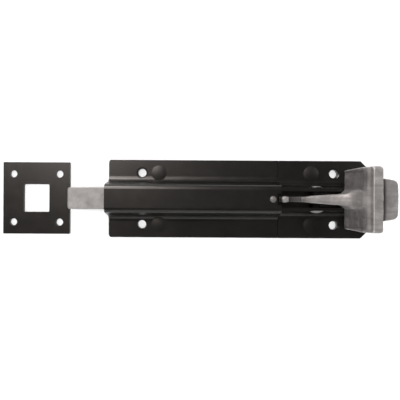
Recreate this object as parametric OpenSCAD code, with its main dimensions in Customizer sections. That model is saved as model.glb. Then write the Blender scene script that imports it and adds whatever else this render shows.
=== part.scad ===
// Toggle bolt for a door or gate: a square bolt in a pressed steel case, worked by a cast tread.
// The case lies on its back: the bolt points along -X, and +Z is away from the door.
// The origin is the centre of the backplate's rear face. All sizes are in millimetres.

/* [Case] */
// Length of the backplate
plate_l = 250; // [200:1:320]
// Thickness of the backplate
plate_t = 3; // [2:0.1:5]
// Thickness of the pressed sheet of the cover and cheeks
case_t = 3; // [2:0.1:4]
// Width of each flat flange, outside its bend
flange_w = 15.5; // [12:0.5:25]
// Radius of the bend between a flange and its wall, on the outside
bend_r = 6.3; // [4:0.1:8]
// Radius of the ridge's top corners, on the outside
ridge_r = 5; // [4:0.1:7]
// How far each cover wall leans out at its foot
wall_lean = 2.2; // [0:0.1:4]
// Length of the open lever guide at the case's rear
guide_l = 86; // [80:1:110]
// Cut across the two rear corners of the case
rear_chamfer = 4.5; // [2:0.5:8]
// Radius of the two front corners of the case
front_r = 2.5; // [1:0.5:6]

/* [Fixing holes] */
// Diameter of the four fixing holes
hole_d = 8.2; // [5:0.1:9]
// Diameter of their countersinks
csk_d = 10.6; // [10:0.1:14]
// Distance of each hole from the end of the case
hole_end = 32; // [22:1:40]
// Distance of each hole outside the bend line
hole_off = 3; // [2:0.5:6]

/* [Flange rivets] */
// Diameter of a rivet's broad head
case_rivet_head = 15; // [10:0.5:16]
// Height of its dome
case_rivet_h = 0.9; // [0.8:0.1:2.5]
// Distance of each front rivet behind its fixing hole
rivet_front_gap = 16.5; // [15:0.5:30]
// Distance of each rear rivet in front of its fixing hole
rivet_rear_gap = 22; // [16:0.5:30]

/* [Bolt] */
// Side of the square bolt
bolt_s = 20; // [16:1:25]
// How far the thrown bolt stands out of the case
bolt_proud = 35; // [25:1:45]
// Travel of the bolt
travel = 30; // [24:1:36]
// Chamfer round the bolt's nose
nose_chamfer = 1.6; // [0.5:0.1:3]

/* [Cross pin] */
// Diameter of the cross pin
pin_d = 8; // [6:0.5:9]
// Distance of the cross pin behind the cover's end
pin_back = 33.8; // [30:0.1:45]
// Diameter of the pin's domed head
pin_head_d = 15; // [12:0.5:16]

/* [Tread lever] */
// Width of the cast web and hood
web_w = 11; // [9:0.5:12]
// Width of the tread
tread_w = 56; // [40:1:65]
// Height of the tread
tread_h = 39; // [25:1:46]
// Thickness of the tread plate
tread_t = 7.5; // [5:0.5:8]
// Lean of the tread, along X from its foot to its top
tread_lean = 8; // [4:0.1:12]
// Depth of the pockets in the tread's front face
pocket_depth = 2.5; // [1:0.1:3]

/* [Catch] */
// Thickness of the catch blade
blade_t = 5; // [3.5:0.1:5.5]
// Height of the catch blade
blade_h = 6; // [5:0.1:8]
// Swing of the catch, in degrees
catch_swing = 4; // [3:0.5:5]
// Width of the catch pad
pad_w = 38; // [28:1:42]
// Length of the catch pad, along X
pad_l = 15; // [12:0.5:18]
// Thickness of the catch pad
pad_t = 7; // [5:0.5:9]
// Height of the catch pad's top above the blade
pad_rise = 20; // [12:0.5:22]

/* [Keep] */
// Length of the keep plate, along X
keep_l = 65; // [55:1:85]
// Width of the keep plate, along Y
keep_w = 70; // [60:1:90]
// Thickness of the keep plate
keep_t = 3; // [2:0.1:5]
// Clearance at each end of the bolt in the keep's hole, along X
keep_gap_x = 2.5; // [1:0.1:4]
// Clearance each side of the bolt in the keep's hole, along Y
keep_gap_y = 3.5; // [1:0.1:4]
// Diameter of the keep's four screw holes
keep_hole_d = 7; // [4.5:0.1:8]
// Distance of the keep's screw holes from its ends, along X
keep_edge_x = 10; // [7:0.5:12]
// Distance of the keep's screw holes from its sides, along Y
keep_edge_y = 11.5; // [7:0.5:14]
// Gap between the keep and the tip of the thrown bolt
keep_apart = 4; // [2:1:20]

/* [Hidden] */
$fn = 64;
ARC_N = 12;          // straight steps in each bend of a pressed outline
DOME_N = 256;        // sides of the spheres that rivet heads are cut from
OVER = 1;            // how far a cutting tool runs past a face
RUN = 0.05;          // radial clearance of a pin that something turns on
SEAT = 0.02;         // clearance of pieces that are fixed together
SIDE = 0.5;          // clearance each side of the bolt in the case
LIFT = 0.2;          // clearance under a piece that slides on the backplate
BLACK = [0.16, 0.15, 0.14];
ZINC = [0.66, 0.65, 0.64];
CAST = [0.56, 0.55, 0.53];

// Case
flange_top = plate_t + case_t;
ridge_in = bolt_s / 2 + SIDE;                    // half width inside the cover, at its top
ridge_out = ridge_in + case_t;
roof_in = plate_t + LIFT + bolt_s + SIDE;        // underside of the cover's roof
roof_out = roof_in + case_t;
bend_y = ridge_out + wall_lean + bend_r;         // the cover's bend line
plate_w = 2 * (bend_y + flange_w);
front_x = -plate_l / 2;
rear_x = plate_l / 2;
joint_gap = 0.4;                                 // between the cover's end and the cheeks
cheek_x = rear_x - guide_l;
cover_end = cheek_x - joint_gap;
hole_x = plate_l / 2 - hole_end;
hole_y = bend_y + hole_off;

// Cheeks: their bend line lies a little inside the cover's
cheek_bend_y = bend_y - 3.5;
cheek_top = roof_out - 1.7;
cheek_gap = web_w / 2 + 2;                       // half width between the cheeks, at their top
cheek_foot = cheek_bend_y - bend_r - case_t;     // half width between the cheeks, at their foot

// Rivets through the flanges
case_rivet_d = 6;
rivet_x = [-hole_x + rivet_front_gap, hole_x - rivet_rear_gap];
rivet_y = hole_y;

// Cross pin
pin_x = cover_end + pin_back;
pin_z = cheek_top - pin_d / 2 - 2;
pin_top = pin_z + pin_d / 2;
pin_head_h = 2.6;
pin_seat = cheek_gap + case_t - 0.4;             // half distance between the seats cut in the cheeks
washer_seat_d = 12;
pin_washer_t = 1.5;
pin_tail = 0.7;                                  // how far the riveted end stands out of its washer

// Front of the lever's web, and the catch's pivot in it
web_x0 = pin_x + pin_d / 2 + LIFT;               // the thrown lever stops against the cross pin
catch_x = web_x0 + 30;
blade_z0 = pin_top + 0.6;
blade_top = blade_z0 + blade_h;
catch_z = blade_z0 + blade_h / 2;

// Nose of the catch blade: a lip in front of the notch that hooks over the pin when the bolt is drawn
notch_play = 0.3;                                // round the pin, in each of the blade's notches
nose_lip = 2.3;
nose_x = in_catch(pin_x - travel, pin_z)[0] - pin_d / 2 - notch_play - nose_lip;

// Notch in the roof's end for that nose, and the stop block in front of it
notch_w = blade_t + 6;
notch_l = cover_end - nose_x + 0.7;
stop_l = 6;
stop_x = cover_end - notch_l - stop_l - 1;
stop_w = 2 * ridge_in - 6;                       // clear of the bends inside the cover
stop_rivet_d = 4;
stop_rivet_head = 6.4;
stop_rivet_h = 1.6;

// Bolt
bolt_z0 = plate_t + LIFT;
tip_x = front_x - bolt_proud;
tail_x = stop_x - travel - LIFT;                 // the drawn bolt's tail meets the stop block
fork_l = 17;                                     // depth of the fork in the bolt's tail

// Drag spring: a bowed leaf in a groove under the bolt
drag_x = front_x + 50;                           // start of the bow
drag_l = 46;
drag_w = 6;
drag_t = 0.5;
drag_bow = 2.2;
drag_foot = 5;                                   // flat foot in front of the bow
drag_rivet_d = 3;
drag_rivet_x = drag_x - 2;
groove_w = drag_w + 2;
groove_h = drag_bow + drag_t + 0.1;
groove_end = 5;                                  // room past each end of the spring

// Draw link, which runs under the cross pin from the bolt to the tread lever
link_w = 8;
link_z0 = plate_t + 1.4;
link_top = pin_z - pin_d / 2 - 0.4;
link_h = link_top - link_z0;
link_zc = link_z0 + link_h / 2;
link_pin_d = 5;
link_pin_x = tail_x - fork_l / 2;
link_x0 = tail_x - fork_l + 1;
stop_z0 = link_top + 2;

// Tread lever
web_x1 = web_x0 + 36;
foot_w = link_w + 5;
foot_z0 = plate_t + 0.8;
foot_top = link_top + 3;
link_end = web_x0 + 15;
draw_rivet_d = 4;
draw_rivet_x = [web_x0 + 4, link_end - 3.5];
tread_x0 = web_x0 + 18;
tread_x1 = tread_x0 + tread_lean;
tread_z0 = cheek_top + 0.8;
tread_top = tread_z0 + tread_h;
tread_r = 3.5;                                     // round of the tread's corners
lip_l = 13;                                       // rim along the top of the tread
lip_h = 6;
rim_w = 4;                                       // rim round the pockets

// Catch
catch_pin_d = 5;
catch_pin_head_d = 7.4;
slot_w = blade_t + 0.6;
slot_floor = blade_z0 - (catch_x - web_x0) * sin(catch_swing) - 1;
hood_z0 = blade_top + 0.7;
hood_t = 4;
hood_x0 = pin_x - 18;
hood_tip_w = blade_t + 0.5;
hood_bend = 40;                                  // radius of the rib's sweep up to the tread
nose_top = blade_top + 1.6;
washer_t = 0.4;
washer_sunk = 0.2;                               // how deep each washer sits in the blade
washer_d = 10;
pad_x0 = web_x1 + 7.6;
pad_z1 = blade_top + pad_rise;
pad_z0 = pad_z1 - pad_t;
pad_r = 4;
arm_slope = (pad_z0 - blade_top) / (pad_x0 + 3 - catch_x);
arm_slot_top = blade_top + (web_x1 + 2 - catch_x) * arm_slope + 2.5;
pad_rivet_d = 2.6;
pad_rivet_x = [pad_x0 + 4.5, pad_x0 + pad_l - 6];
pad_rivet_l = 4;                                 // how far the pad's rivets reach into the blade

// Keep
keep_x = tip_x - keep_apart - keep_l / 2;
keep_hole_x = bolt_s + 2 * keep_gap_x;
keep_hole_y = bolt_s + 2 * keep_gap_y;

// ---- helpers ----

// Points of an arc, from angle a0 to a1
function arc(cx, cy, r, a0, a1) =
    [for (i = [0 : ARC_N]) let (a = a0 + (a1 - a0) * i / ARC_N) [cx + r * cos(a), cy + r * sin(a)]];

function reversed(list) = [for (i = [len(list) - 1 : -1 : 0]) list[i]];

function mirrored(list) = [for (p = list) [-p[0], p[1]]];

// One face of a pressed wall in Y and Z: flange, bend, leaning wall, and a top corner of radius rt
function wall_face(bend, foot, top, z0, z1, rb, rt) =
    let (lean = atan((foot - top) / (z1 - z0)))
    concat(
        [[plate_w / 2, z0]],
        arc(bend, z0 + rb, rb, -90, -180 + lean),
        rt > 0 ? arc(top - rt, z1 - rt, rt, lean, 90) : [[top, z1]]
    );

// Where a point of the case sits in the catch, once the catch has made its full swing
function in_catch(x, z) =
    let (dx = x - catch_x, dz = z - catch_z)
    [catch_x + dx * cos(catch_swing) + dz * sin(catch_swing),
     catch_z - dx * sin(catch_swing) + dz * cos(catch_swing)];

// Sweeps an outline drawn in Y and Z along X, from x0 to x1
module along_x(x0, x1) {
    translate([x0, 0, 0]) rotate([90, 0, 90]) linear_extrude(x1 - x0) children();
}

// Gives an outline drawn in X and Z a width along Y, centred
module across_y(w) {
    rotate([90, 0, 0]) linear_extrude(w, center = true) children();
}

module y_cylinder(x, z, d, y0, y1) {
    translate([x, y0, z]) rotate([-90, 0, 0]) cylinder(d = d, h = y1 - y0);
}

module rounded_rect(x, y, r) {
    square([x - 2 * r, y], center = true);
    square([x, y - 2 * r], center = true);
    for (sx = [-1, 1], sy = [-1, 1]) translate([sx * (x / 2 - r), sy * (y / 2 - r)]) circle(r);
}

// Domed rivet head of diameter d and height h, on a flat face
module dome_head(d, h) {
    r = (d * d / 4 + h * h) / (2 * h);
    intersection() {
        translate([0, 0, h - r]) sphere(r, $fn = DOME_N);
        cylinder(d = d, h = h);
    }
}

// Plan outline of the case: round front corners, and rear corners cut by a given amount
module case_plan(cut) {
    difference() {
        union() {
            translate([front_x + front_r, -plate_w / 2]) square([plate_l - front_r, plate_w]);
            translate([front_x, -plate_w / 2 + front_r]) square([2 * front_r, plate_w - 2 * front_r]);
            for (s = [-1, 1]) translate([front_x + front_r, s * (plate_w / 2 - front_r)]) circle(front_r);
        }
        for (s = [-1, 1])
            translate([rear_x, s * plate_w / 2]) rotate(45) square(cut * sqrt(2), center = true);
    }
}

// The four fixing holes, with their countersinks in the top sheet
module fixing_holes() {
    sink = (csk_d - hole_d) / 2;
    for (sx = [-1, 1], sy = [-1, 1]) translate([sx * hole_x, sy * hole_y, 0]) {
        translate([0, 0, -OVER]) cylinder(d = hole_d, h = flange_top + 2 * OVER);
        translate([0, 0, flange_top - sink]) cylinder(d1 = hole_d, d2 = csk_d, h = sink);
        translate([0, 0, flange_top]) cylinder(d = csk_d, h = bend_r);
    }
}

module case_rivet_places() {
    for (x = rivet_x, s = [-1, 1]) translate([x, s * rivet_y, 0]) children();
}

// Holes for the flange rivets, and flat seats for their heads
module case_rivet_holes() {
    case_rivet_places() {
        translate([0, 0, -OVER]) cylinder(d = case_rivet_d + 2 * SEAT, h = flange_top + 2 * OVER);
        translate([0, 0, flange_top]) cylinder(d = case_rivet_head + 2 * SEAT, h = bend_r);
    }
}

// ---- case ----

module backplate() {
    color(BLACK) difference() {
        linear_extrude(plate_t) case_plan(rear_chamfer);
        fixing_holes();
        case_rivet_holes();
        translate([drag_rivet_x, 0, -OVER]) cylinder(d = drag_rivet_d + 2 * SEAT, h = plate_t + 2 * OVER);
    }
}

// Section of the cover: flanges, bends, leaning walls and roof
module cover_outline() {
    outer = wall_face(bend_y, ridge_out + wall_lean, ridge_out, flange_top, roof_out, bend_r, ridge_r);
    inner = wall_face(bend_y, ridge_in + wall_lean, ridge_in, plate_t, roof_in,
                      bend_r + case_t, ridge_r - case_t);
    polygon(concat(outer, reversed(mirrored(outer)), mirrored(inner), reversed(inner)));
}

module cover() {
    color(BLACK) difference() {
        intersection() {
            along_x(front_x, cover_end) cover_outline();
            linear_extrude(roof_out + OVER) case_plan(rear_chamfer);
        }
        fixing_holes();
        case_rivet_holes();
        translate([cover_end - notch_l, -notch_w / 2, roof_in - OVER])
            cube([notch_l + OVER, notch_w, case_t + 2 * OVER]);
        translate([stop_x + stop_l / 2, 0, roof_in - OVER])
            cylinder(d = stop_rivet_d + 2 * SEAT, h = case_t + 2 * OVER);
    }
}

// Section of one cheek: flange, bend and leaning wall with a sheared top edge
module cheek_outline() {
    outer = wall_face(cheek_bend_y, cheek_foot + case_t, cheek_gap + case_t, flange_top, cheek_top,
                      bend_r, 0);
    inner = wall_face(cheek_bend_y, cheek_foot, cheek_gap, plate_t, cheek_top, bend_r + case_t, 0);
    polygon(concat(outer, reversed(inner)));
}

// One cheek, drawn on the +Y side, with a seat of the given diameter round the cross pin
module cheek(seat_d) {
    color(BLACK) difference() {
        intersection() {
            along_x(cheek_x, rear_x) cheek_outline();
            linear_extrude(cheek_top + OVER) case_plan(rear_chamfer + 1.5);
        }
        fixing_holes();
        case_rivet_holes();
        y_cylinder(pin_x, pin_z, pin_d + 2 * SEAT, 0, plate_w / 2);
        y_cylinder(pin_x, pin_z, seat_d + 2 * SEAT, pin_seat, plate_w / 2);
    }
}

module cheek_left() {
    cheek(washer_seat_d);
}

module cheek_right() {
    mirror([0, 1, 0]) cheek(pin_head_d);
}

module case_rivets() {
    color(BLACK) case_rivet_places() {
        cylinder(d = case_rivet_d, h = flange_top);
        translate([0, 0, flange_top]) dome_head(case_rivet_head, case_rivet_h);
    }
}

// Block under the roof that the drawn bolt comes up against
module stop_block() {
    color(BLACK) difference() {
        translate([stop_x, -stop_w / 2, stop_z0]) cube([stop_l, stop_w, roof_in - stop_z0]);
        translate([stop_x + stop_l / 2, 0, stop_z0 - OVER])
            cylinder(d = stop_rivet_d + 2 * SEAT, h = roof_in - stop_z0 + 2 * OVER);
    }
}

module stop_rivet() {
    color(ZINC) translate([stop_x + stop_l / 2, 0, stop_z0]) {
        cylinder(d = stop_rivet_d, h = roof_out - stop_z0);
        translate([0, 0, roof_out - stop_z0]) dome_head(stop_rivet_head, stop_rivet_h);
    }
}

// Height of the leaf's underside, at a distance along its bow
function drag_rise(s) = drag_bow * (1 - cos(360 * s / drag_l)) / 2;

module drag_spring() {
    steps = 16;
    under = [for (i = [0 : steps]) let (s = drag_l * i / steps) [s, drag_rise(s)]];
    over = [for (p = under) [p[0], p[1] + drag_t]];
    color(ZINC) difference() {
        translate([drag_x, 0, plate_t]) across_y(drag_w)
            polygon(concat([[-drag_foot, 0]], under, reversed(over), [[-drag_foot, drag_t]]));
        translate([drag_rivet_x, 0, plate_t - OVER]) cylinder(d = drag_rivet_d + 2 * SEAT, h = 3 * OVER);
    }
}

module drag_rivet() {
    color(ZINC) translate([drag_rivet_x, 0, 0]) {
        cylinder(d = drag_rivet_d, h = plate_t + drag_t);
        translate([0, 0, plate_t + drag_t]) dome_head(drag_rivet_d + 2, 1.2);
    }
}

module cross_pin() {
    color(ZINC) {
        y_cylinder(pin_x, pin_z, pin_d, -pin_seat, pin_seat + pin_washer_t + pin_tail);
        translate([pin_x, -pin_seat, pin_z]) rotate([90, 0, 0]) dome_head(pin_head_d, pin_head_h);
    }
}

module cross_pin_washer() {
    color(BLACK) difference() {
        y_cylinder(pin_x, pin_z, washer_seat_d, pin_seat, pin_seat + pin_washer_t);
        y_cylinder(pin_x, pin_z, pin_d + 2 * SEAT, pin_seat - OVER, pin_seat + pin_washer_t + OVER);
    }
}

// ---- bolt and tread lever ----

// Outline whose left corners are cut
module nosed(y0, y1) {
    c = nose_chamfer;
    polygon([[tip_x + c, y0], [tail_x, y0], [tail_x, y1], [tip_x + c, y1], [tip_x, y1 - c], [tip_x, y0 + c]]);
}

module bolt_bar() {
    color(ZINC) difference() {
        intersection() {
            across_y(bolt_s) nosed(bolt_z0, bolt_z0 + bolt_s);
            linear_extrude(roof_out) nosed(-bolt_s / 2, bolt_s / 2);
            along_x(tip_x, tail_x) translate([0, bolt_z0 + bolt_s / 2]) rounded_rect(bolt_s, bolt_s, 0.8);
        }
        // fork for the draw link
        translate([tail_x - fork_l, -link_w / 2 - 0.1, 0]) cube([fork_l + OVER, link_w + 0.2, roof_out]);
        y_cylinder(link_pin_x, link_zc, link_pin_d + 2 * SEAT, -bolt_s, bolt_s);
        // groove that clears the drag spring over the whole travel
        translate([drag_x - drag_foot - groove_end - travel, -groove_w / 2, 0])
            cube([drag_foot + drag_l + 2 * groove_end + travel, groove_w, plate_t + groove_h]);
    }
}

module link_pin() {
    color(ZINC) y_cylinder(link_pin_x, link_zc, link_pin_d, -bolt_s / 2 + 0.3, bolt_s / 2 - 0.3);
}

module draw_link() {
    color(BLACK) difference() {
        translate([link_x0, -link_w / 2, link_z0]) cube([link_end - link_x0, link_w, link_h]);
        y_cylinder(link_pin_x, link_zc, link_pin_d + 2 * SEAT, -link_w, link_w);
        for (x = draw_rivet_x) y_cylinder(x, link_zc, draw_rivet_d + 2 * SEAT, -link_w, link_w);
    }
}

module draw_rivets() {
    color(CAST) for (x = draw_rivet_x) y_cylinder(x, link_zc, draw_rivet_d, -foot_w / 2, foot_w / 2);
}

// Outline of the cast hood, rib and web, in X and Z
module web_outline() {
    hood_top = hood_z0 + hood_t;
    rib_x = tread_x0 + tread_lean * 0.7;
    polygon(concat(
        [[web_x0, foot_z0], [web_x0, hood_z0], [hood_x0, hood_z0]],
        arc(hood_x0 + hood_t, hood_z0, hood_t, 180, 90),
        arc(pin_x, hood_top + 0.5 + hood_bend, hood_bend, -90, -48),
        [[rib_x, tread_top - lip_h], [tread_x1 + tread_t, tread_top - lip_h],
         [web_x1, blade_top + 6], [web_x1, foot_z0]]
    ));
}

// Plan of the hood and web: narrow at the tip, so that it blends with the blade
module web_plan() {
    polygon([
        [hood_x0, -hood_tip_w / 2], [pin_x + 2, -web_w / 2], [web_x1, -web_w / 2],
        [web_x1, web_w / 2], [pin_x + 2, web_w / 2], [hood_x0, hood_tip_w / 2]
    ]);
}

// Outline of the tread plate and its top rim, in X and Z
module tread_outline() {
    r = 2;
    polygon(concat(
        [[tread_x0, tread_z0]],
        arc(tread_x1 + r, tread_top - r, r, 180, 90),
        arc(tread_x1 + lip_l - r, tread_top - r, r, 90, 0),
        [[tread_x1 + lip_l, tread_top - lip_h + 1], [tread_x1 + tread_t - 1, tread_top - lip_h - 2],
         [tread_x0 + tread_t, tread_z0]]
    ));
}

module tread_lever() {
    pocket_w = (tread_w - web_w) / 2 - 2 * rim_w;
    tilt = atan(tread_lean / tread_h);
    color(CAST) difference() {
        union() {
            intersection() {
                across_y(web_w) web_outline();
                linear_extrude(tread_top) web_plan();
            }
            translate([web_x0, -foot_w / 2, foot_z0]) cube([web_x1 - web_x0, foot_w, foot_top - foot_z0]);
            intersection() {
                across_y(tread_w) tread_outline();
                translate([0, 0, tread_z0 + tread_h / 2])
                    along_x(tread_x0 - OVER, tread_x1 + lip_l + OVER) rounded_rect(tread_w, tread_h, tread_r);
            }
        }
        // pockets in the tread's front face, one each side of the rib
        for (s = [-1, 1]) translate([tread_x0, s * (web_w / 2 + rim_w + pocket_w / 2), tread_z0])
            rotate([0, tilt, 0]) translate([-OVER, -pocket_w / 2, rim_w])
                cube([OVER + pocket_depth, pocket_w, tread_h - lip_h - 2 * rim_w]);
        // slot that the catch blade swings in, higher behind the pivot
        translate([hood_x0 - OVER, -slot_w / 2, slot_floor])
            cube([web_x1 + 2 * OVER - hood_x0, slot_w, hood_z0 - slot_floor]);
        translate([catch_x - 4, -slot_w / 2, slot_floor])
            cube([web_x1 + 2 * OVER - catch_x + 4, slot_w, arm_slot_top - slot_floor]);
        y_cylinder(catch_x, catch_z, washer_d + 1, -slot_w / 2, slot_w / 2);
        // socket for the draw link
        translate([web_x0 - OVER, -link_w / 2 - SEAT, link_z0 - SEAT])
            cube([link_end - web_x0 + OVER + SEAT, link_w + 2 * SEAT, link_h + 2 * SEAT]);
        for (x = draw_rivet_x) y_cylinder(x, link_zc, draw_rivet_d + 2 * SEAT, -foot_w, foot_w);
        y_cylinder(catch_x, catch_z, catch_pin_d + 2 * SEAT, -web_w, web_w);
    }
}

module catch_pin() {
    color(ZINC) {
        y_cylinder(catch_x, catch_z, catch_pin_d, -web_w / 2, web_w / 2);
        for (s = [-1, 1]) translate([catch_x, s * web_w / 2, catch_z]) rotate([-s * 90, 0, 0])
            dome_head(catch_pin_head_d, 1.3);
    }
}

// ---- catch ----

// Notch in the blade for the cross pin, when the pin is at x
module blade_notch(x) {
    hooked = in_catch(x, pin_z);
    left = hooked[0] - pin_d / 2 - notch_play;
    right = x + pin_d / 2 + notch_play;
    top = hooked[1] + pin_d / 2 + notch_play;
    translate([left, blade_z0 - OVER]) square([right - left, top - blade_z0 + OVER]);
}

module blade_outline() {
    difference() {
        polygon(concat(
            [[nose_x, blade_z0]],
            arc(nose_x + 3, nose_top - 3, 3, 180, 90),
            [[nose_x + 12, nose_top], [nose_x + 17, blade_top], [catch_x - 2, blade_top],
             [pad_x0 + 1, pad_z0], [pad_x0 + pad_l - 3, pad_z0],
             [catch_x + 9, blade_z0 + 0.5], [catch_x + 4, blade_z0 - 1.5], [catch_x - 5, blade_z0]]
        ));
        blade_notch(pin_x);
        blade_notch(pin_x - travel);
        translate([catch_x, catch_z]) circle(d = catch_pin_d + 2 * RUN);
    }
}

module catch_blade() {
    seat_y = blade_t / 2 - washer_sunk;
    color(CAST) difference() {
        across_y(blade_t) blade_outline();
        y_cylinder(catch_x, catch_z, washer_d + 2 * SEAT, seat_y, blade_t);
        y_cylinder(catch_x, catch_z, washer_d + 2 * SEAT, -blade_t, -seat_y);
        for (x = pad_rivet_x) translate([x, 0, pad_z0 - pad_rivet_l - SEAT])
            cylinder(d = pad_rivet_d + 2 * SEAT, h = pad_rivet_l + OVER);
    }
}

module friction_washers() {
    inner_y = blade_t / 2 - washer_sunk + SEAT;
    color(ZINC) for (s = [0, 1]) mirror([0, s, 0]) difference() {
        y_cylinder(catch_x, catch_z, washer_d, inner_y, inner_y + washer_t);
        y_cylinder(catch_x, catch_z, catch_pin_d + 2 * RUN, 0, web_w);
    }
}

module catch_pad() {
    color(CAST) difference() {
        translate([pad_x0 + pad_l / 2, 0, pad_z0]) linear_extrude(pad_t) rounded_rect(pad_l, pad_w, pad_r);
        for (x = pad_rivet_x) translate([x, 0, pad_z0 - OVER])
            cylinder(d = pad_rivet_d + 2 * SEAT, h = pad_t + 2 * OVER);
    }
}

module pad_rivets() {
    color(CAST) for (x = pad_rivet_x) translate([x, 0, pad_z0 - pad_rivet_l])
        cylinder(d = pad_rivet_d, h = pad_rivet_l + pad_t);
}

// ---- keep ----

module keep_plate() {
    color(BLACK) translate([keep_x, 0, 0]) difference() {
        linear_extrude(keep_t) rounded_rect(keep_l, keep_w, 0.8);
        translate([0, 0, -OVER]) linear_extrude(keep_t + 2 * OVER) rounded_rect(keep_hole_x, keep_hole_y, 1.2);
        for (sx = [-1, 1], sy = [-1, 1])
            translate([sx * (keep_l / 2 - keep_edge_x), sy * (keep_w / 2 - keep_edge_y), -OVER])
                cylinder(d = keep_hole_d, h = keep_t + 2 * OVER);
    }
}

backplate();
cover();
cheek_left();
cheek_right();
case_rivets();
stop_block();
stop_rivet();
drag_spring();
drag_rivet();
cross_pin();
cross_pin_washer();
bolt_bar();
link_pin();
draw_link();
draw_rivets();
tread_lever();
catch_pin();
catch_blade();
friction_washers();
catch_pad();
pad_rivets();
keep_plate();
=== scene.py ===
import math

import bpy
import numpy as np
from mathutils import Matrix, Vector


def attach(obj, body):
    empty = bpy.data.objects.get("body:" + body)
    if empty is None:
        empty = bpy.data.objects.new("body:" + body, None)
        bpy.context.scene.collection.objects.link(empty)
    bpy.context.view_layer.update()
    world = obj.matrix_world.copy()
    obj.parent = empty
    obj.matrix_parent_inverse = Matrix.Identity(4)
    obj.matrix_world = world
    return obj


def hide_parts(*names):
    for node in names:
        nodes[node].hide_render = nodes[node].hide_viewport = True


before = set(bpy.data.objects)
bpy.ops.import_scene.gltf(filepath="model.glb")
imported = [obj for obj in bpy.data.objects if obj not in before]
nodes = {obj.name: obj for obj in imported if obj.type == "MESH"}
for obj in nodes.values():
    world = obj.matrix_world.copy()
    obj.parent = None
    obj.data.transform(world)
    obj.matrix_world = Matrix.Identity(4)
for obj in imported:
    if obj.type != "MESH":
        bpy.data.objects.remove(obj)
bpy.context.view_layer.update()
scene = bpy.context.scene
rng = np.random.default_rng(7)

MM = 0.001

# Sizes repeated from the CAD source, in millimetres
BLADE_T = 5.0
PIN_X, PIN_Z, PIN_D = 72.4, 19.0, 8.0
TRAVEL = 30.0
SWING = math.radians(4)
WEB_X0, WEB_X1, WEB_W = 76.6, 112.6, 11.0
FOOT_Z0, FOOT_TOP, FOOT_W = 3.8, 17.6, 13.0
LINK_END, LINK_W, LINK_Z0, LINK_TOP = 91.6, 8.0, 4.4, 14.6
HOOD_X0, HOOD_Z0 = 54.4, 30.3
TREAD_X0, TREAD_Z0, TREAD_TOP = 94.6, 25.8, 64.8
TREAD_W, TREAD_H, TREAD_T, TREAD_LEAN = 56.0, 39.0, 7.5, 8.0
CATCH_X, CATCH_Z = 106.6, 26.6
BLADE_Z0, BLADE_TOP = 23.6, 29.6
SLOT_W, SLOT_FLOOR, ARM_SLOT_TOP = 5.6, 20.5, 38.4
WASHER_D = 10.0
NOSE_X = 35.4
PAD_X0, PAD_L, PAD_W, PAD_Z0, PAD_Z1 = 120.2, 15.0, 38.0, 42.6, 49.6

# Sizes of the castings alone, in millimetres
PAST = 9                    # how far a cut runs out past the surface it opens
RIB_ARC_R = 40.0            # radius of the rib's sweep up to the tread
RIB_ARC_UP = 44.5           # centre of that sweep above the hood
RIB_R = 2.0                 # rounding of the rib and web
RIB_CROWN = 1.2             # fall of the rib's top from its middle to its sides
LIP_X = 115.6               # rear of the lip along the tread's top
TREAD_MID, TREAD_HALF = 45.3, 19.5      # middle and half height of the rounded face
TREAD_TAPER = 1.3           # each side draws in by this down to the foot
TREAD_R = 0.7
TREAD_CORNER, LIP_CORNER = 3.0, 3.4
BOWL_DEPTH = 2.6
BOWL_SOFT = 3.2             # rounding where a bowl meets the face
KNOB_AT = (40.8, 28.7)      # x and z of the catch's nose
KNOB_R = (3.6, 2.9, 2.5)
BLADE_R = 0.8
ARM_GROWTH = 1.2            # the arm under the pad is this much wider each side than the blade
NOTCH_PLAY = 0.3
PAD_BULGE = 0.9
PAD_CORNER = 3.4
PAD_R = 1.3


# ---- shapes as distance fields, in millimetres ----

def grid(lo, hi, step):
    """Coordinates of a regular grid, ready to broadcast."""
    axes = [np.arange(a, b + step, step) for a, b in zip(lo, hi)]
    x = axes[0][:, None, None]
    y = axes[1][None, :, None]
    z = axes[2][None, None, :]
    return x, y, z


def inset(points, r):
    """The outline moved inwards by r; points run anticlockwise."""
    out = []
    n = len(points)
    for i in range(n):
        p0, p1, p2 = (np.array(points[(i + k) % n], float) for k in (-1, 0, 1))
        d0 = (p1 - p0) / np.linalg.norm(p1 - p0)
        d1 = (p2 - p1) / np.linalg.norm(p2 - p1)
        n0 = np.array([-d0[1], d0[0]])
        n1 = np.array([-d1[1], d1[0]])
        m = n0 + n1
        out.append(p1 + m * r / max(0.3, m @ n0))
    return out


def outline(u, v, points):
    """Signed distance to a closed outline."""
    dist = None
    crossed = None
    n = len(points)
    for i in range(n):
        ax, ay = points[i]
        bx, by = points[(i + 1) % n]
        ex, ey = bx - ax, by - ay
        wx, wy = u - ax, v - ay
        t = np.clip((wx * ex + wy * ey) / (ex * ex + ey * ey), 0, 1)
        d = (wx - ex * t) ** 2 + (wy - ey * t) ** 2
        dist = d if dist is None else np.minimum(dist, d)
        if ay != by:
            hit = ((ay > v) != (by > v)) & (u < ex * (v - ay) / ey + ax)
            crossed = hit if crossed is None else crossed ^ hit
    return np.where(crossed, -1.0, 1.0) * np.sqrt(dist)


def corner(a, b):
    """Distance to where two faces meet, rounded on the outside."""
    return np.minimum(np.maximum(a, b), 0) + np.hypot(np.maximum(a, 0), np.maximum(b, 0))


def slab(flat, across, r):
    """An outline given a thickness, with edges rounded to r. Both distances are to shapes smaller by r."""
    return corner(flat, across) - r


def block(x, y, z, lo, hi, r=0.0):
    """A box from lo to hi with edges rounded to r."""
    q = [np.abs(p - (a + b) / 2) - (b - a) / 2 + r for p, a, b in zip((x, y, z), lo, hi)]
    out = np.sqrt(sum(np.maximum(k, 0) ** 2 for k in q))
    return out + np.minimum(np.maximum(np.maximum(q[0], q[1]), q[2]), 0) - r


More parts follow.
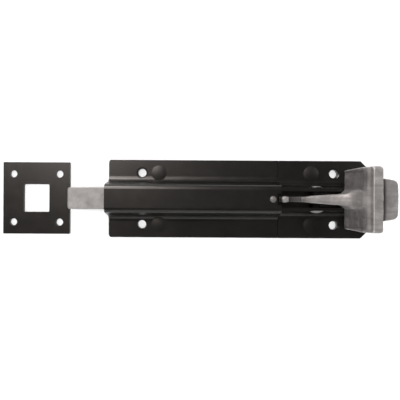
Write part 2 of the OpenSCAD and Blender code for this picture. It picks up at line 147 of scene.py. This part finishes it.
def join(a, b, k):
    """Both shapes as one, blended over k."""
    h = np.clip(0.5 + 0.5 * (b - a) / k, 0, 1)
    return b + (a - b) * h - k * h * (1 - h)


def cut(a, b, k=0.0):
    """Shape a without shape b."""
    return np.maximum(a, -b) if k == 0 else -join(-a, b, k)


def lumps(x, y, z, amount, size):
    """The gentle unevenness of a sand casting."""
    total = 0
    for _ in range(5):
        k = rng.normal(size=3)
        k = k / np.linalg.norm(k) * 2 * math.pi / (size * rng.uniform(0.6, 1.6))
        total = total + np.sin(x * k[0] + y * k[1] + z * k[2] + rng.uniform(0, 6.3))
    return total * amount / 5


def surface(name, field, lo, hi, step):
    """Meshes the zero surface of a field with one vertex per crossed cell."""
    x, y, z = grid(lo, hi, step)
    d = np.ascontiguousarray(np.broadcast_to(field(x, y, z), (x.size, y.size, z.size)))
    cells = tuple(s - 1 for s in d.shape)
    total = np.zeros(cells).ravel()
    where = np.zeros((total.size, 3))
    quads = []
    for axis in range(3):
        a = np.take(d, range(d.shape[axis] - 1), axis)
        b = np.take(d, range(1, d.shape[axis]), axis)
        edge = np.argwhere((a < 0) != (b < 0))
        va, vb = a[tuple(edge.T)], b[tuple(edge.T)]
        point = edge.astype(float)
        point[:, axis] += va / (va - vb)
        o1, o2 = (axis + 1) % 3, (axis + 2) % 3
        ring = []
        for s1, s2 in ((0, 0), (1, 0), (1, 1), (0, 1)):
            c = edge.copy()
            c[:, o1] -= s1
            c[:, o2] -= s2
            flat = np.ravel_multi_index(tuple(c.T), cells, mode="clip")
            total += np.bincount(flat, minlength=total.size)
            for i in range(3):
                where[:, i] += np.bincount(flat, weights=point[:, i], minlength=total.size)
            ring.append(flat)
        ring = np.stack(ring, 1)
        ring[va < 0] = ring[va < 0][:, ::-1]
        quads.append(ring)
    used = np.flatnonzero(total)
    number = np.full(total.size, -1)
    number[used] = np.arange(used.size)
    verts = (where[used] / total[used, None] * step + np.array(lo)) * MM
    faces = number[np.concatenate(quads)][:, ::-1]
    mesh = bpy.data.meshes.new(name)
    mesh.from_pydata(verts.tolist(), [], faces.tolist())
    mesh.polygons.foreach_set("use_smooth", [True] * len(mesh.polygons))
    obj = bpy.data.objects.new(name, mesh)
    scene.collection.objects.link(obj)
    soft = obj.modifiers.new("soft", "SMOOTH")
    soft.factor = 0.5
    soft.iterations = 4
    return obj


def rib_and_web(x, y, z):
    ay = np.abs(y)
    sweep = [(PIN_X + RIB_ARC_R * math.cos(a), HOOD_Z0 + RIB_ARC_UP + RIB_ARC_R * math.sin(a))
             for a in np.radians(np.linspace(-90, -46, 9))]
    side = [(WEB_X0, FOOT_Z0), (WEB_X1, FOOT_Z0), (WEB_X1, BLADE_TOP + 6), (108.0, 55.0), (104.0, 54.0)]
    side += sweep[::-1] + [(HOOD_X0 + 10, HOOD_Z0 + 3.6), (HOOD_X0 + 1, HOOD_Z0 + 1.3),
                           (HOOD_X0, HOOD_Z0), (WEB_X0, HOOD_Z0)]
    # in plan the rib tapers towards the hood's tip
    half = np.interp(x, [HOOD_X0, 58, 72, 87, 94, 99, 120], [2.1, 2.9, 3.9, 4.8, 5.6, 6.8, 6.8])
    half = np.where(z < HOOD_Z0 + 8, np.minimum(half, WEB_W / 2), half)
    flat = outline(x, z, side)
    d = slab(flat + RIB_R, ay - half + RIB_R, RIB_R)
    # its top is rounded across
    crown = flat + (ay / np.maximum(half, 1)) ** 4 * RIB_CROWN
    d = np.where(z > HOOD_Z0 + 0.5, np.maximum(d, crown), d)
    foot = block(x, y, z, (WEB_X0, -FOOT_W / 2, FOOT_Z0), (WEB_X1, FOOT_W / 2, FOOT_TOP), 1.0)
    return join(d, foot, 1.5)


def tread_and_gussets(x, y, z):
    ay = np.abs(y)
    # plate with a rolled lip along its top
    plate = [(TREAD_X0, TREAD_Z0), (TREAD_X0 + TREAD_T, TREAD_Z0), (108.6, 56.0), (113.6, 58.0),
             (LIP_X, 60.2), (115.4, 63.2), (114.0, 63.9), (110.5, 64.4), (107.0, TREAD_TOP),
             (105.4, 61.6), (103.4, 59.4), (101.0, 56.0)]
    wide = TREAD_W / 2 - TREAD_TAPER * np.clip((TREAD_TOP - z) / TREAD_H, 0, 1)
    ends = corner(ay - wide + TREAD_CORNER, np.abs(z - TREAD_MID) - TREAD_HALF + TREAD_CORNER)
    ends = ends - TREAD_CORNER
    tread = slab(outline(x, z, inset(plate, TREAD_R)), ends + TREAD_R, TREAD_R)
    lip = np.hypot(np.maximum(x - LIP_X + LIP_CORNER, 0), np.maximum(ay - wide + LIP_CORNER, 0))
    tread = np.maximum(tread, lip - LIP_CORNER)
    # shallow bowls in the front face, either side of the rib; u runs into the face and v up it
    tilt = math.atan(TREAD_LEAN / TREAD_H)
    u = (x - TREAD_X0) * math.cos(tilt) - (z - TREAD_Z0) * math.sin(tilt)
    v = (x - TREAD_X0) * math.sin(tilt) + (z - TREAD_Z0) * math.cos(tilt)
    depth = BOWL_DEPTH * np.clip((v + 2) / 16, 0, 1) * np.clip((35 - v) / 12, 0, 1)
    bowl = np.maximum(block(u, ay, v, (-6, 8.2, -9), (6, 24.6, 32.0), 2.4), (u - depth) * 0.97)
    tread = cut(tread, bowl, BOWL_SOFT)
    # gussets that blend the tread into the web behind
    back = block(u, y, v, (6, -8.5, 1), (8.5, 8.5, 30), 1.2)
    return join(tread, back, 3.0)


def lever_field(x, y, z):
    d = join(rib_and_web(x, y, z), tread_and_gussets(x, y, z), 4.5)
    d = d + lumps(x, y, z, 0.16, 9) + lumps(x, y, z, 0.05, 3)
    # slot for the catch's blade and for its arm, recess for the washers, socket for the draw link
    for x0, top in ((HOOD_X0 - PAST, HOOD_Z0), (CATCH_X - 4, ARM_SLOT_TOP)):
        d = cut(d, block(x, y, z, (x0, -SLOT_W / 2, SLOT_FLOOR), (WEB_X1 + PAST, SLOT_W / 2, top)))
    washer = np.hypot(x - CATCH_X, z - CATCH_Z) - WASHER_D / 2 - 0.5
    d = cut(d, np.maximum(washer, np.abs(y) - SLOT_W / 2))
    d = cut(d, block(x, y, z, (WEB_X0 - PAST, -LINK_W / 2, LINK_Z0), (LINK_END, LINK_W / 2, LINK_TOP)))
    # below the hood nothing reaches in front of the web
    return np.maximum(d, WEB_X0 - x - np.where(z > HOOD_Z0 - 0.1, 99, 0))


def in_catch(x, z):
    """Where a point of the casing comes to lie on the catch once that has swung down."""
    dx, dz = x - CATCH_X, z - CATCH_Z
    return (CATCH_X + dx * math.cos(SWING) + dz * math.sin(SWING),
            CATCH_Z - dx * math.sin(SWING) + dz * math.cos(SWING))


def blade_field(x, y, z):
    ay = np.abs(y)
    side = [(NOSE_X + 0.4, BLADE_Z0), (CATCH_X - 5, BLADE_Z0), (CATCH_X + 4, BLADE_Z0 - 1.5),
            (CATCH_X + 9, BLADE_Z0 + 0.5), (PAD_X0 + PAD_L - 3, PAD_Z0 + 0.6),
            (PAD_X0 + 1, PAD_Z0 + 0.6), (CATCH_X - 2, BLADE_TOP),
            (NOSE_X + 17, BLADE_TOP), (NOSE_X + 9, BLADE_TOP - 0.8),
            (NOSE_X + 2.4, BLADE_TOP - 1.6), (NOSE_X + 0.6, BLADE_TOP - 2.6)]
    half = BLADE_T / 2 + np.clip((z - 36) / 8, 0, 1) * ARM_GROWTH
    d = slab(outline(x, z, inset(side, BLADE_R)), ay - half + BLADE_R, BLADE_R)
    # rounded nose standing up above the blade
    knob = ((x - KNOB_AT[0]) / KNOB_R[0]) ** 2 + (y / KNOB_R[1]) ** 2 + ((z - KNOB_AT[1]) / KNOB_R[2]) ** 2
    d = join(d, (np.sqrt(knob) - 1) * KNOB_R[2], 1.2)
    d = d + lumps(x, y, z, 0.08, 7)
    # notches that hook over the cross pin
    for px in (PIN_X, PIN_X - TRAVEL):
        hx, hz = in_catch(px, PIN_Z)
        d = cut(d, block(x, y, z, (hx - PIN_D / 2 - NOTCH_PLAY, -PAST, 0),
                         (px + PIN_D / 2 + NOTCH_PLAY, PAST, hz + PIN_D / 2 + NOTCH_PLAY)))
    # seats for the friction washers
    seat = np.maximum(np.hypot(x - CATCH_X, z - CATCH_Z) - WASHER_D / 2, BLADE_T / 2 - 0.2 - ay)
    return cut(d, seat)


def pad_field(x, y, z):
    mid = PAD_X0 + PAD_L / 2
    bulge = PAD_BULGE * (1 - (y / (PAD_W / 2)) ** 2)
    lo, hi = PAD_X0 + 0.2, PAD_X0 + PAD_L - PAD_BULGE
    qx = np.maximum(lo - x, x - hi - bulge) + PAD_CORNER
    qy = np.abs(y) - PAD_W / 2 + PAD_CORNER + 0.19 * (x - PAD_X0 - 1)
    plan = corner(qx, qy) - PAD_CORNER
    # corners cut as well as rounded
    sliced = np.maximum(mid - x, x - mid) + np.abs(y) - PAD_W / 2 - PAD_L / 2 + 2.6
    plan = np.maximum(plan, sliced * 0.707)
    top = PAD_Z1 - 0.5 * ((x - mid) / 7.5) ** 2 - 0.45 * (y / 18) ** 2
    # front edge slopes back, in the shade of the lip
    plan = np.maximum(plan, ((PAD_X0 + 0.2 - x) * 5.6 + (z - 44) * 3.4) / 6.55)
    d = slab(plan + PAD_R, np.abs(z - (PAD_Z0 + top) / 2) - (top - PAD_Z0) / 2 + PAD_R, PAD_R)
    boss = block(x, y, z, (PAD_X0 + 1.6, -4, PAD_Z0 - 1.5), (PAD_X0 + 12, 4, PAD_Z0 + 2), 1.2)
    return join(d, boss, 2.0) + lumps(x, y, z, 0.12, 8) + lumps(x, y, z, 0.05, 3)


# ---- materials ----

class Graph:
    """A small helper that builds one node material."""

    def __init__(self, name):
        self.mat = bpy.data.materials.new(name)
        self.mat.use_nodes = True
        self.tree = self.mat.node_tree
        self.shader = self.tree.nodes["Principled BSDF"]
        self.place = self.new("ShaderNodeTexCoord").outputs["Object"]

    def new(self, kind, **values):
        node = self.tree.nodes.new(kind)
        for key, value in values.items():
            setattr(node, key, value)
        return node

    def link(self, out, socket):
        self.tree.links.new(out, socket)

    def noise(self, scale, detail=4.0, rough=0.55, stretch=(1, 1, 1), offset=0.0):
        mapping = self.new("ShaderNodeMapping")
        mapping.inputs["Scale"].default_value = stretch
        mapping.inputs["Location"].default_value = (offset, offset * 0.7, offset * 1.3)
        self.link(self.place, mapping.inputs["Vector"])
        tex = self.new("ShaderNodeTexNoise")
        tex.inputs["Scale"].default_value = scale
        tex.inputs["Detail"].default_value = detail
        tex.inputs["Roughness"].default_value = rough
        self.link(mapping.outputs["Vector"], tex.inputs["Vector"])
        return tex.outputs["Fac"]

    def ramp(self, out, stops):
        """stops are (position, colour or grey)."""
        node = self.new("ShaderNodeValToRGB")
        ramp = node.color_ramp
        while len(ramp.elements) < len(stops):
            ramp.elements.new(0.5)
        for element, (pos, value) in zip(ramp.elements, stops):
            element.position = pos
            grey = isinstance(value, (int, float))
            element.color = (value, value, value, 1) if grey else (*value, 1)
        self.link(out, node.inputs["Fac"])
        return node.outputs["Color"]

    def mix(self, fac, a, b, kind="MIX"):
        node = self.new("ShaderNodeMix", data_type="RGBA", blend_type=kind)
        for key, value in ((0, fac), (6, a), (7, b)):
            socket = node.inputs[key]
            if isinstance(value, bpy.types.NodeSocket):
                self.link(value, socket)
            elif key == 0:
                socket.default_value = value
            else:
                socket.default_value = (*value, 1)
        return node.outputs[2]

    def bump(self, height, strength, distance):
        node = self.new("ShaderNodeBump")
        node.inputs["Strength"].default_value = strength
        node.inputs["Distance"].default_value = distance
        self.link(height, node.inputs["Height"])
        old = self.shader.inputs["Normal"]
        if old.is_linked:
            self.link(old.links[0].from_socket, node.inputs["Normal"])
        self.link(node.outputs["Normal"], old)

    def edges(self, low, high):
        """1 on sharp edges, 0 on flats."""
        geo = self.new("ShaderNodeNewGeometry")
        return self.ramp(geo.outputs["Pointiness"], [(low, 0.0), (high, 1.0)])

    def along(self, axis):
        """The place along one axis, in metres."""
        split = self.new("ShaderNodeSeparateXYZ")
        self.link(self.place, split.inputs["Vector"])
        return split.outputs[axis]

    def maths(self, operation, *values):
        node = self.new("ShaderNodeMath", operation=operation)
        for value, socket in zip(values, node.inputs):
            self.link(value, socket)
        return node.outputs["Value"]

    def span(self, out, low, high, start=0.0):
        """Runs from start at low to 1 at high."""
        node = self.new("ShaderNodeMapRange")
        node.inputs["From Min"].default_value = low
        node.inputs["From Max"].default_value = high
        node.inputs["To Min"].default_value = start
        self.link(out, node.inputs["Value"])
        return node.outputs["Result"]

    def hollows(self, distance):
        node = self.new("ShaderNodeAmbientOcclusion")
        node.samples = 8
        node.inputs["Distance"].default_value = distance
        return node.outputs["AO"]


def black_paint(name, dull=0.0):
    g = Graph(name)
    s = g.shader
    broad = g.noise(28, 5, 0.6)
    fine = g.noise(420, 3, 0.6, offset=0.3)
    dust = g.noise(110, 6, 0.7, offset=0.8)
    tone = g.ramp(broad, [(0.35, (0.0062, 0.0056, 0.0050)), (0.68, (0.0105, 0.0092, 0.0078))])
    tone = g.mix(g.ramp(dust, [(0.56, 0.0), (0.8, 0.2)]), tone, (0.022, 0.0195, 0.017))
    g.link(tone, s.inputs["Base Color"])
    g.link(g.ramp(dust, [(0.3, 0.29 + dull), (0.75, 0.35 + dull)]), s.inputs["Roughness"])
    s.inputs["Specular IOR Level"].default_value = 0.42 - 0.7 * dull
    g.bump(fine, 0.015, 0.00012)
    g.bump(g.noise(45, 2, 0.5, offset=2.2), 0.05, 0.0006)
    return g.mat


def zinc_plate(name, darkening=None, dull=0.0):
    """Given a reach, the piece is painted near black and dull out to that distance along Y from the middle,
    in metres: painted shade, for a piece lying down in a slot.
    """
    g = Graph(name)
    s = g.shader
    cloud = g.noise(95, 6, 0.65)
    streak = g.noise(260, 4, 0.6, stretch=(0.06, 1, 1), offset=0.5)
    tone = g.ramp(cloud, [(0.3, (0.165, 0.156, 0.153)), (0.52, (0.24, 0.227, 0.223)),
                          (0.75, (0.315, 0.30, 0.294))])
    tone = g.mix(g.ramp(streak, [(0.45, 0.0), (0.75, 0.45)]), tone, (0.20, 0.19, 0.19))
    speck = g.noise(900, 3, 0.7, offset=1.1)
    tone = g.mix(g.ramp(speck, [(0.6, 0.0), (0.72, 0.5)]), tone, (0.16, 0.15, 0.145))
    if dull:
        tone = g.mix(dull, tone, (0.02, 0.018, 0.017))
    if darkening:
        # painted shade: near black and barely shiny within the reach of the middle
        out_of_shade = g.span(g.maths("ABSOLUTE", g.along("Y")), darkening, darkening + 0.0012)
        tone = g.mix(out_of_shade, (0.006, 0.0055, 0.005), tone)
        g.link(g.ramp(out_of_shade, [(0.0, 0.04), (1.0, 0.5)]), s.inputs["Specular IOR Level"])
    g.link(tone, s.inputs["Base Color"])
    g.link(g.ramp(cloud, [(0.3, 0.62), (0.75, 0.44)]), s.inputs["Roughness"])
    s.inputs["Metallic"].default_value = 0.15
    g.bump(speck, 0.12, 0.0001)
    g.bump(streak, 0.15, 0.00012)
    return g.mat


def cast_grey(name, darkening=(), face=False):
    """Stretches, each (axis, from, to in metres, stops), are made darker and less shiny: painted shade on
    the lever and pad; along the blade only darker.
    The face flag darkens what looks forwards, away from the middle, as on the front of the tread: painted
    shade."""
    g = Graph(name)
    s = g.shader
    cloud = g.noise(70, 6, 0.65)
    grain = g.noise(520, 4, 0.65, offset=0.4)
    brush = g.noise(330, 4, 0.65, stretch=(0.10, 1, 0.25), offset=0.9)
    tone = g.ramp(cloud, [(0.3, (0.155, 0.145, 0.14)), (0.52, (0.25, 0.236, 0.229)),
                          (0.75, (0.335, 0.317, 0.308))])
    tone = g.mix(g.ramp(brush, [(0.40, 0.0), (0.68, 0.7)]), tone, (0.145, 0.133, 0.129))
    # painted shade: darker in recesses, from ambient occlusion
    recess_shade = g.ramp(g.hollows(0.04), [(0.40, 0.92), (0.86, 0.0)])
    tone = g.mix(recess_shade, tone, (0.085, 0.078, 0.08))
    # lighter on sharp edges: worn edges, and a painted highlight along the lip's top edge
    tone = g.mix(g.edges(0.51, 0.555), tone, (0.58, 0.56, 0.54))
    if face:
        # painted shade: the steep front of the tread, which looks forwards, is darkened in patches away
        # from the middle
        turn = g.new("ShaderNodeSeparateXYZ")
        g.link(g.new("ShaderNodeTexCoord").outputs["Normal"], turn.inputs["Vector"])
        ahead = g.span(turn.outputs["X"], -0.55, -0.9)
        away = g.span(g.maths("ABSOLUTE", g.along("Y")), 0.004, 0.012, 0.25)
        both = g.maths("MULTIPLY", ahead, away)
        patchy = g.ramp(g.noise(140, 5, 0.65, offset=3.1), [(0.3, 0.35), (0.7, 0.8)])
        tone = g.mix(g.mix(both, (0, 0, 0), patchy), tone, (0.045, 0.040, 0.041))
    shine = None
    for axis, low, high, stops in darkening:
        # painted shade where a stretch lies in shadow: the colour darkens and the shine drops
        dark_mask = g.ramp(g.span(g.along(axis), low, high), stops)
        tone = g.mix(dark_mask, tone, (0.010, 0.009, 0.008))
        if shine is None:
            shine = g.ramp(dark_mask, [(0.0, 0.5), (1.0, 0.08)])
        else:
            shine = g.mix(dark_mask, shine, (0.08, 0.08, 0.08))
        g.link(shine, s.inputs["Specular IOR Level"])
    g.link(tone, s.inputs["Base Color"])
    g.link(g.ramp(grain, [(0.3, 0.42), (0.7, 0.60)]), s.inputs["Roughness"])
    s.inputs["Metallic"].default_value = 0.2
    g.bump(grain, 0.35, 0.00022)
    g.bump(brush, 0.22, 0.00018)
    g.bump(cloud, 0.25, 0.0005)
    return g.mat


def spring_steel():
    g = Graph("spring_steel")
    s = g.shader
    cloud = g.noise(120, 5, 0.6)
    tone = g.ramp(cloud, [(0.3, (0.13, 0.13, 0.135)), (0.7, (0.24, 0.235, 0.235))])
    g.link(tone, s.inputs["Base Color"])
    g.link(g.ramp(cloud, [(0.3, 0.32), (0.7, 0.5)]), s.inputs["Roughness"])
    s.inputs["Metallic"].default_value = 0.8
    g.bump(g.noise(700, 3, 0.6, stretch=(0.1, 1, 1)), 0.1, 0.0001)
    return g.mat


looks = {
    "black_paint": black_paint("black_paint"),
    "zinc_plate": zinc_plate("zinc_plate"),
    "cast_grey": cast_grey("cast_grey"),
    "spring_steel": spring_steel(),
}

# ---- CAD nodes that keep their shape ----

slots = {
    "black_paint": ["backplate", "cover", "cheek_left", "cheek_right", "case_rivets", "stop_block",
                    "cross_pin_washer", "draw_link", "keep_plate"],
    "zinc_plate": ["stop_rivet", "drag_rivet", "bolt_bar", "link_pin", "catch_pin", "cross_pin"],
    "cast_grey": ["tread_lever", "catch_blade", "catch_pad", "pad_rivets", "draw_rivets"],
    "spring_steel": ["drag_spring", "friction_washers"],
}
# Edge rounding in millimetres; the nodes not listed keep their edges
bevels = {"backplate": 0.35, "cover": 0.4, "cheek_left": 0.45, "cheek_right": 0.45, "stop_block": 0.4,
          "keep_plate": 0.4, "bolt_bar": 0.5, "draw_link": 0.4, "cross_pin_washer": 0.25,
          "friction_washers": 0.08, "case_rivets": 0.25, "stop_rivet": 0.2, "catch_pin": 0.2,
          "cross_pin": 0.3}

for slot_name, names in slots.items():
    for name in names:
        obj = nodes[name]
        obj.data.materials.clear()
        obj.data.materials.append(looks[slot_name])
        obj.data.polygons.foreach_set("use_smooth", [True] * len(obj.data.polygons))
        weld = obj.modifiers.new("weld", "WELD")
        weld.merge_threshold = 0.000001
        if name in bevels:
            flat = obj.modifiers.new("flat", "DECIMATE")
            flat.decimate_type = "DISSOLVE"
            flat.angle_limit = math.radians(0.5)
            bevel = obj.modifiers.new("bevel", "BEVEL")
            bevel.width = bevels[name] * MM
            bevel.segments = 3
            bevel.limit_method = "ANGLE"
            bevel.angle_limit = math.radians(40)
            even = obj.modifiers.new("even", "WEIGHTED_NORMAL")
            even.weight = 100
            even.keep_sharp = False
        else:
            obj.data.set_sharp_from_angle(angle=math.radians(32))

# The cross pin is painted near black between the cheeks, as painted shade of the slot it lies in, and is
# bright zinc on its head
nodes["cross_pin"].data.materials[0] = zinc_plate("zinc_shade_painted", 0.0099)
nodes["case_rivets"].data.materials[0] = black_paint("rivet_paint", dull=0.12)
nodes["stop_rivet"].data.materials[0] = zinc_plate("zinc_dull", dull=0.6)

# ---- cast pieces ----

lever = surface("cast_lever", lever_field, (52.0, -30.0, 2.0), (116.0, 30.0, 67.0), 0.5)
# painted shade: darker at the hood's low tip, fading out by x 68 mm, and low down in the slot, fading out
# above z 27.5 mm
lever.data.materials.append(cast_grey("cast_lever", darkening=[
    ("X", 0.053, 0.068, [(0.0, 0.85), (0.35, 0.6), (1.0, 0.0)]),
    ("Z", 0.0235, 0.0275, [(0.0, 0.92), (1.0, 0.0)])], face=True))
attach(lever, "bolt")
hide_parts("tread_lever")

blade = surface("cast_blade", blade_field, (33.0, -5.0, 20.0), (136.0, 5.0, 46.0), 0.35)
# darker and less shiny along the blade, in front of and behind its nose; the nose stays light
blade.data.materials.append(cast_grey("cast_blade", darkening=[
    ("X", 0.034, 0.062, [(0.13, 0.95), (0.19, 0.0), (0.345, 0.0), (0.385, 0.93),
                         (0.65, 0.8), (1.0, 0.3)])]))
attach(blade, "catch")
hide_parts("catch_blade")

pad = surface("cast_pad", pad_field, (116.0, -20.0, 39.0), (136.0, 20.0, 52.0), 0.4)
# painted shadow of the lip along the pad's front edge
pad.data.materials.append(cast_grey("cast_pad", darkening=[
    ("X", 0.1215, 0.1245, [(0.0, 0.85), (1.0, 0.0)])]))
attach(pad, "catch")
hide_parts("catch_pad", "pad_rivets")

# ---- stage ----

bpy.ops.mesh.primitive_plane_add(size=12, location=(0, 0, -0.0002))
floor = bpy.context.object
floor.name = "floor"
floor_mat = bpy.data.materials.new("floor")
floor_mat.use_nodes = True
floor_shader = floor_mat.node_tree.nodes["Principled BSDF"]
floor_shader.inputs["Base Color"].default_value = (0.93, 0.93, 0.93, 1)
floor_shader.inputs["Roughness"].default_value = 0.95
floor.data.materials.append(floor_mat)

# Looking straight down, turned a little, as the object was photographed
cam_data = bpy.data.cameras.new("camera")
cam = bpy.data.objects.new("camera", cam_data)
scene.collection.objects.link(cam)
cam.location = (-0.0366, -0.00105, 0.3942)
cam.rotation_euler = (0, 0, math.radians(0.35))
cam_data.sensor_width = 36
cam_data.lens = 36
scene.camera = cam

world = bpy.data.worlds.new("world")
scene.world = world
world.use_nodes = True
sky = world.node_tree.nodes["Background"]
sky.inputs["Color"].default_value = (1, 1, 1, 1)
sky.inputs["Strength"].default_value = 0.65
world.cycles_visibility.glossy = False


def area(name, loc, target, size, power, gloss=True, diffuse=True, tint=(1, 1, 1)):
    """A rectangular light; gloss and diffuse say which kinds of reflection see it."""
    data = bpy.data.lights.new(name, "AREA")
    data.shape = "RECTANGLE"
    data.size, data.size_y = size
    data.energy = power
    light = bpy.data.objects.new(name, data)
    scene.collection.objects.link(light)
    light.location = loc
    light.rotation_euler = (Vector(target) - Vector(loc)).to_track_quat("-Z", "Y").to_euler()
    light.visible_glossy = gloss
    light.visible_diffuse = diffuse
    data.color = tint


# One soft light from above. The others are only seen in reflections and draw the soft streaks on the bends.
area("above", (-0.04, 0, 1.3), (-0.04, 0, 0), (0.35, 0.25), 12, gloss=False)
area("key", (-0.55, 0.60, 0.48), (-0.08, 0, 0), (0.8, 0.45), 18, diffuse=False, tint=(1.0, 0.92, 0.87))
area("sheen", (-0.44, 0.46, 1.0), (-0.08, 0, 0), (0.5, 0.5), 8.5, diffuse=False, tint=(1.0, 0.89, 0.85))
area("fill", (0.75, 0.25, 0.6), (0.05, 0, 0), (0.4, 0.4), 2, diffuse=False)
area("front", (-0.1, -0.9, 0.4), (0, 0, 0), (1.0, 0.3), 2, diffuse=False)

scene.view_settings.view_transform = "Standard"
